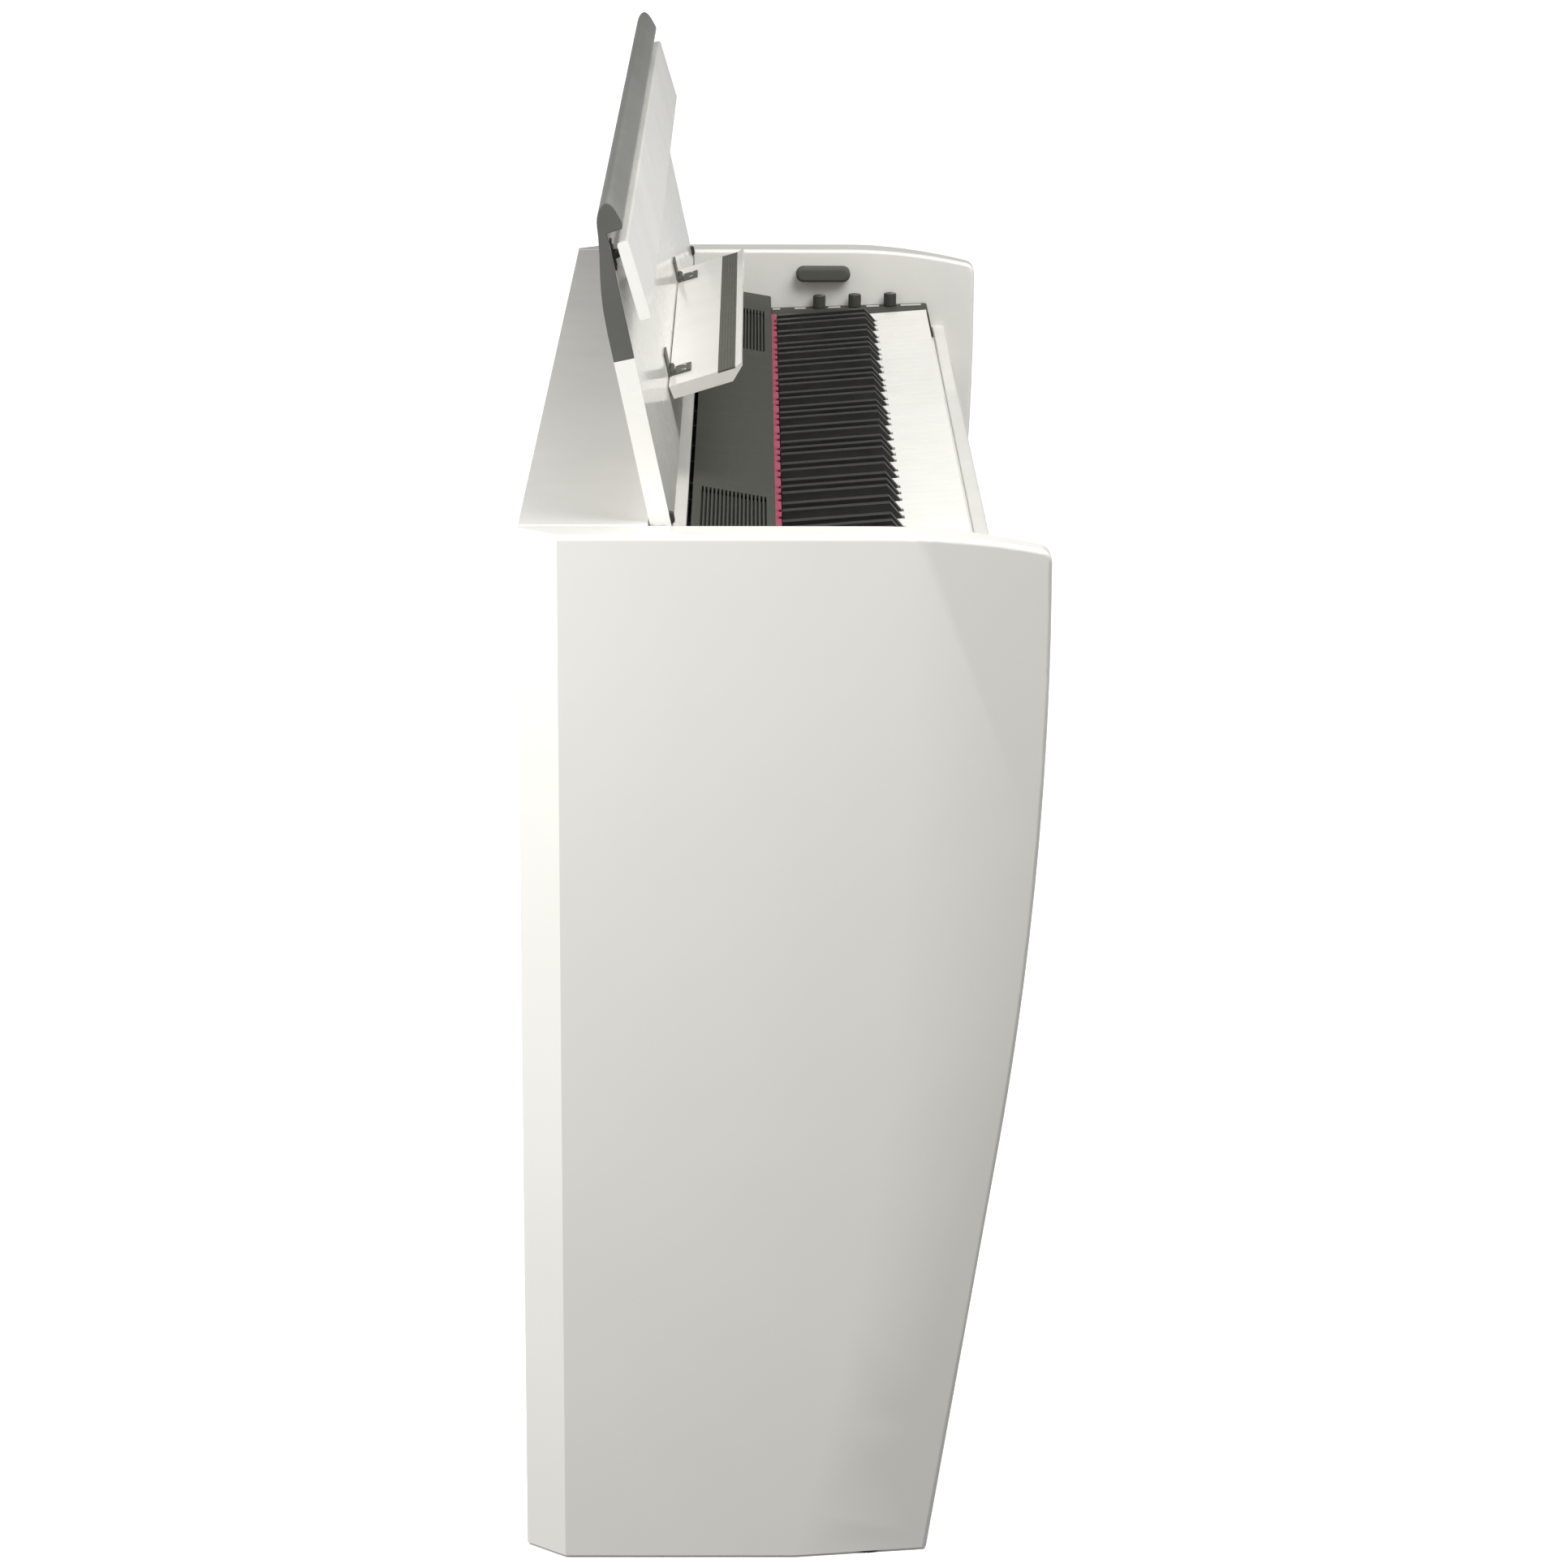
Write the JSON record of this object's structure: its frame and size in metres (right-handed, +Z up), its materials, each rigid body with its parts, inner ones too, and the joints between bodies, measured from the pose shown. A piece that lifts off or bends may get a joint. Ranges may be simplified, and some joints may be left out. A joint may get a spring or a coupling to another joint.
{
  "type": "digital piano on stand",
  "caption": "Slim upright digital piano: slab side panels, raised folding lid with music shelf, weighted keyboard, control knobs and a pedal box.",
  "frame": {"origin": "on the floor, under the middle of the cabinet", "axes": "+X along the keyboard towards the treble end, -Y towards the player, +Z up"},
  "size_m": [1.419, 0.3886, 1.0229],
  "materials": {
    "white_lacquer": "gloss lacquer over MDF",
    "white_laminate": "satin melamine on particle board",
    "dark_plastic": "fine matt moulded ABS",
    "dark_rubber": "matt rubber",
    "satin_aluminium": "satin anodised",
    "dark_hinge_steel": "dark satin coating",
    "black_nylon": "moulded nylon",
    "black_plastic": "matt ABS",
    "white_keytop": "polished acrylic",
    "black_keytop": "satin ABS",
    "zinc_steel": "zinc plated",
    "bright_steel": "polished",
    "grey_felt": "pressed felt",
    "crimson_felt": "pressed felt",
    "circuit_board": "glass-epoxy laminate",
    "polished_brass": "polished"
  },
  "bodies": {
    "cabinet": {"side_panel_treble": "white_lacquer", "side_panel_bass": "white_lacquer", "top_board": "white_lacquer", "top_rail": "white_lacquer", "hinge_rail": "white_lacquer", "back_panel": "white_laminate", "key_bed": "white_laminate", "key_slip": "white_lacquer", "lower_back_board": "white_laminate", "floor_glides": "black_nylon", "lid_rest_pads": "dark_rubber", "key_frame": "zinc_steel", "key_pivot_rod": "bright_steel", "key_stop_felt": "grey_felt", "key_sensor_board": "circuit_board", "key_contact_strip": "dark_rubber", "felt_strip": "crimson_felt", "speaker_panel": "dark_plastic", "end_block_bass": "dark_plastic", "control_block": "dark_plastic", "control_board": "circuit_board", "lid_pivot_brackets": "dark_hinge_steel", "speakers": "black_plastic", "main_board": "circuit_board", "amplifier_board": "circuit_board", "connector_plate": "dark_plastic", "connector_sockets": "black_nylon", "pedal_box": "white_lacquer", "support_foot": "black_nylon", "pedal_axle": "bright_steel", "back_panel_screws": "bright_steel"},
    "lid": {"lid_board": "white_lacquer", "lid_nose": "satin_aluminium", "lid_end_caps": "dark_plastic", "lid_pivot_bushes": "black_nylon", "leaf_brackets": "dark_hinge_steel", "shelf_hinge_lid_leaves": "dark_hinge_steel"},
    "leaf": {"lid_leaf": "white_lacquer", "leaf_lugs": "dark_hinge_steel"},
    "shelf": {"music_shelf": "white_lacquer", "shelf_grip_strip": "dark_rubber", "shelf_hinge_shelf_leaves": "dark_hinge_steel"},
    "keys_c_group": {"keys_c": "white_keytop"},
    "keys_c_sharp_group": {"keys_c_sharp": "black_keytop"},
    "keys_d_group": {"keys_d": "white_keytop"},
    "keys_d_sharp_group": {"keys_d_sharp": "black_keytop"},
    "keys_e_group": {"keys_e": "white_keytop"},
    "keys_f_group": {"keys_f": "white_keytop"},
    "keys_f_sharp_group": {"keys_f_sharp": "black_keytop"},
    "keys_g_group": {"keys_g": "white_keytop"},
    "keys_g_sharp_group": {"keys_g_sharp": "black_keytop"},
    "keys_a_group": {"keys_a": "white_keytop"},
    "keys_a_sharp_group": {"keys_a_sharp": "black_keytop"},
    "keys_b_group": {"keys_b": "white_keytop"},
    "knob_volume": {"knob_volume": "black_plastic"},
    "knob_brilliance": {"knob_brilliance": "black_plastic"},
    "knob_reverb": {"knob_reverb": "black_plastic"},
    "pedal_soft": {"pedal_soft": "polished_brass"},
    "pedal_sostenuto": {"pedal_sostenuto": "polished_brass"},
    "pedal_damper": {"pedal_damper": "polished_brass"}
  },
  "joints": [
    {"name": "lid_hinge", "type": "hinge", "parent": "cabinet", "child": "lid", "pos_m": [0, 0.08855, 0.782], "axis": [1, 0, 0], "range_deg": [0, 102]},
    {"name": "leaf_tilt", "type": "hinge", "parent": "lid", "child": "leaf", "pos_m": [0, 0.12145, 0.9846], "axis": [1, 0, 0], "range_deg": [-2, 4]},
    {"name": "shelf_fold", "type": "hinge", "parent": "lid", "child": "shelf", "pos_m": [0, 0.08872, 0.83003], "axis": [1, 0, 0], "range_deg": [-85, 0]},
    {"name": "press_keys_c", "type": "hinge", "parent": "cabinet", "child": "keys_c_group", "pos_m": [0, 0.06585, 0.7149], "axis": [1, 0, 0], "range_deg": [0, 2.6], "stiffness_Nm_per_rad": 60, "springref_deg": -5.16},
    {"name": "press_keys_c_sharp", "type": "hinge", "parent": "cabinet", "child": "keys_c_sharp_group", "pos_m": [0, 0.06585, 0.7149], "axis": [1, 0, 0], "range_deg": [0, 2.6], "stiffness_Nm_per_rad": 60, "springref_deg": -5.16},
    {"name": "press_keys_d", "type": "hinge", "parent": "cabinet", "child": "keys_d_group", "pos_m": [0, 0.06585, 0.7149], "axis": [1, 0, 0], "range_deg": [0, 2.6], "stiffness_Nm_per_rad": 60, "springref_deg": -5.16},
    {"name": "press_keys_d_sharp", "type": "hinge", "parent": "cabinet", "child": "keys_d_sharp_group", "pos_m": [0, 0.06585, 0.7149], "axis": [1, 0, 0], "range_deg": [0, 2.6], "stiffness_Nm_per_rad": 60, "springref_deg": -5.16},
    {"name": "press_keys_e", "type": "hinge", "parent": "cabinet", "child": "keys_e_group", "pos_m": [0, 0.06585, 0.7149], "axis": [1, 0, 0], "range_deg": [0, 2.6], "stiffness_Nm_per_rad": 60, "springref_deg": -5.16},
    {"name": "press_keys_f", "type": "hinge", "parent": "cabinet", "child": "keys_f_group", "pos_m": [0, 0.06585, 0.7149], "axis": [1, 0, 0], "range_deg": [0, 2.6], "stiffness_Nm_per_rad": 60, "springref_deg": -5.16},
    {"name": "press_keys_f_sharp", "type": "hinge", "parent": "cabinet", "child": "keys_f_sharp_group", "pos_m": [0, 0.06585, 0.7149], "axis": [1, 0, 0], "range_deg": [0, 2.6], "stiffness_Nm_per_rad": 60, "springref_deg": -5.16},
    {"name": "press_keys_g", "type": "hinge", "parent": "cabinet", "child": "keys_g_group", "pos_m": [0, 0.06585, 0.7149], "axis": [1, 0, 0], "range_deg": [0, 2.6], "stiffness_Nm_per_rad": 60, "springref_deg": -5.16},
    {"name": "press_keys_g_sharp", "type": "hinge", "parent": "cabinet", "child": "keys_g_sharp_group", "pos_m": [0, 0.06585, 0.7149], "axis": [1, 0, 0], "range_deg": [0, 2.6], "stiffness_Nm_per_rad": 60, "springref_deg": -5.16},
    {"name": "press_keys_a", "type": "hinge", "parent": "cabinet", "child": "keys_a_group", "pos_m": [0, 0.06585, 0.7149], "axis": [1, 0, 0], "range_deg": [0, 2.6], "stiffness_Nm_per_rad": 60, "springref_deg": -5.16},
    {"name": "press_keys_a_sharp", "type": "hinge", "parent": "cabinet", "child": "keys_a_sharp_group", "pos_m": [0, 0.06585, 0.7149], "axis": [1, 0, 0], "range_deg": [0, 2.6], "stiffness_Nm_per_rad": 60, "springref_deg": -5.16},
    {"name": "press_keys_b", "type": "hinge", "parent": "cabinet", "child": "keys_b_group", "pos_m": [0, 0.06585, 0.7149], "axis": [1, 0, 0], "range_deg": [0, 2.6], "stiffness_Nm_per_rad": 60, "springref_deg": -5.16},
    {"name": "knob_volume_turn", "type": "hinge", "parent": "cabinet", "child": "knob_volume", "pos_m": [0.6595, -0.04195, 0.745], "axis": [0, 0, 1], "range_deg": [-140, 140]},
    {"name": "knob_brilliance_turn", "type": "hinge", "parent": "cabinet", "child": "knob_brilliance", "pos_m": [0.6595, -0.07665, 0.745], "axis": [0, 0, 1], "range_deg": [-140, 140]},
    {"name": "knob_reverb_turn", "type": "hinge", "parent": "cabinet", "child": "knob_reverb", "pos_m": [0.6595, -0.11135, 0.745], "axis": [0, 0, 1], "range_deg": [-140, 140]},
    {"name": "pedal_soft_press", "type": "hinge", "parent": "cabinet", "child": "pedal_soft", "pos_m": [0, 0.05925, 0.062], "axis": [1, 0, 0], "range_deg": [0, 5], "stiffness_Nm_per_rad": 20, "springref_deg": -2.86},
    {"name": "pedal_sostenuto_press", "type": "hinge", "parent": "cabinet", "child": "pedal_sostenuto", "pos_m": [0, 0.05925, 0.062], "axis": [1, 0, 0], "range_deg": [0, 5], "stiffness_Nm_per_rad": 20, "springref_deg": -2.86},
    {"name": "pedal_damper_press", "type": "hinge", "parent": "cabinet", "child": "pedal_damper", "pos_m": [0, 0.05925, 0.062], "axis": [1, 0, 0], "range_deg": [0, 5], "stiffness_Nm_per_rad": 20, "springref_deg": -2.86}
  ],
  "couplings": [
    {"joint": "shelf_fold", "follows": "lid_hinge", "ratio": -0.82843}
  ]
}
